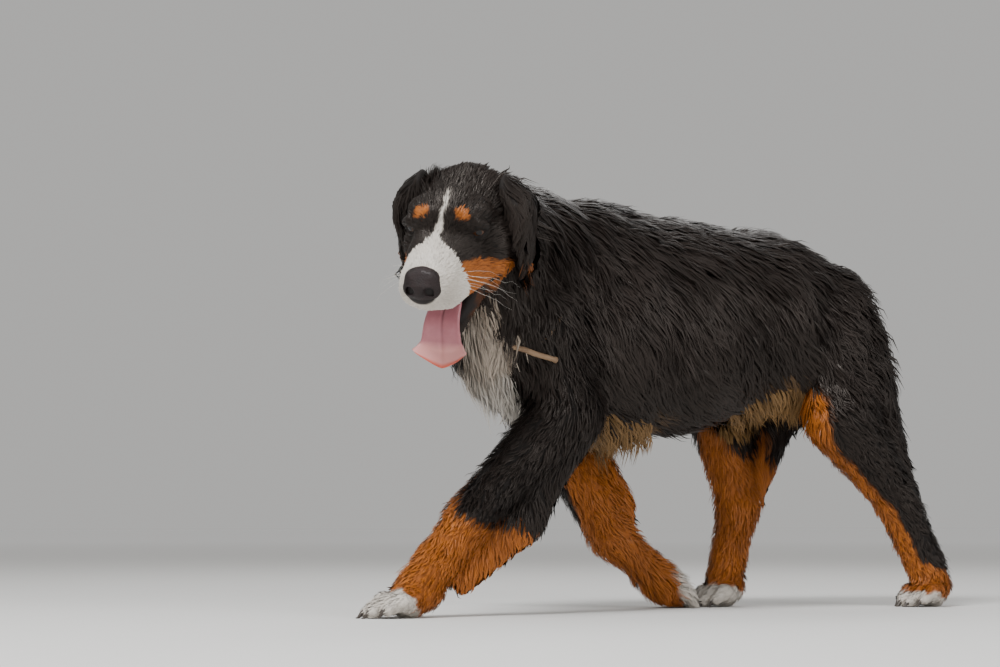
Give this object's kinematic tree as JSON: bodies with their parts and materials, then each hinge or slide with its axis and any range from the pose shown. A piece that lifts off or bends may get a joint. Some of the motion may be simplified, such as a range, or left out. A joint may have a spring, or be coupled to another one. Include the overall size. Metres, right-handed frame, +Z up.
{
  "type": "bernese mountain dog model",
  "caption": "Life-size still model of a Bernese mountain dog in a slow walk, head turned to its left, mouth open and tongue out, standing on its four paws.",
  "frame": {"origin": "on the floor under the middle of the part's box", "axes": "+Z up, the dog faces -Y and its left side is +X"},
  "size_m": [0.4518, 1.1562, 0.7016],
  "materials": {
    "black_coat": "glossy black long fur with grey-brown highlights",
    "rust_coat": "rust red short and feathered fur",
    "white_coat": "white fur, slightly cream in the shade",
    "nose": "moist pebbled dark nose leather",
    "tongue": "wet pink with a mauve middle and a centre groove",
    "eye": "dark brown glass eye with a clear gloss",
    "mouth": "moist black lips and gums",
    "teeth": "ivory teeth",
    "claw": "dark horn claws",
    "collar_leather": "thin rolled tan leather"
  },
  "bodies": {
    "root": {"eye_left": "eye", "eye_right": "eye", "nose": "nose", "head": "black_coat", "lower_jaw": "black_coat", "tongue": "tongue", "ear_left": "black_coat", "ear_right": "black_coat", "collar": "collar_leather", "neck": "black_coat", "chest": "black_coat", "barrel": "black_coat", "tail": "black_coat", "rump": "black_coat", "foreleg_left": "rust_coat", "forepaw_left": "white_coat", "foreleg_right": "rust_coat", "forepaw_right": "white_coat", "thigh_left": "black_coat", "shank_left": "rust_coat", "hindpaw_left": "white_coat", "thigh_right": "black_coat", "shank_right": "rust_coat", "hindpaw_right": "white_coat"}
  },
  "joints": []
}
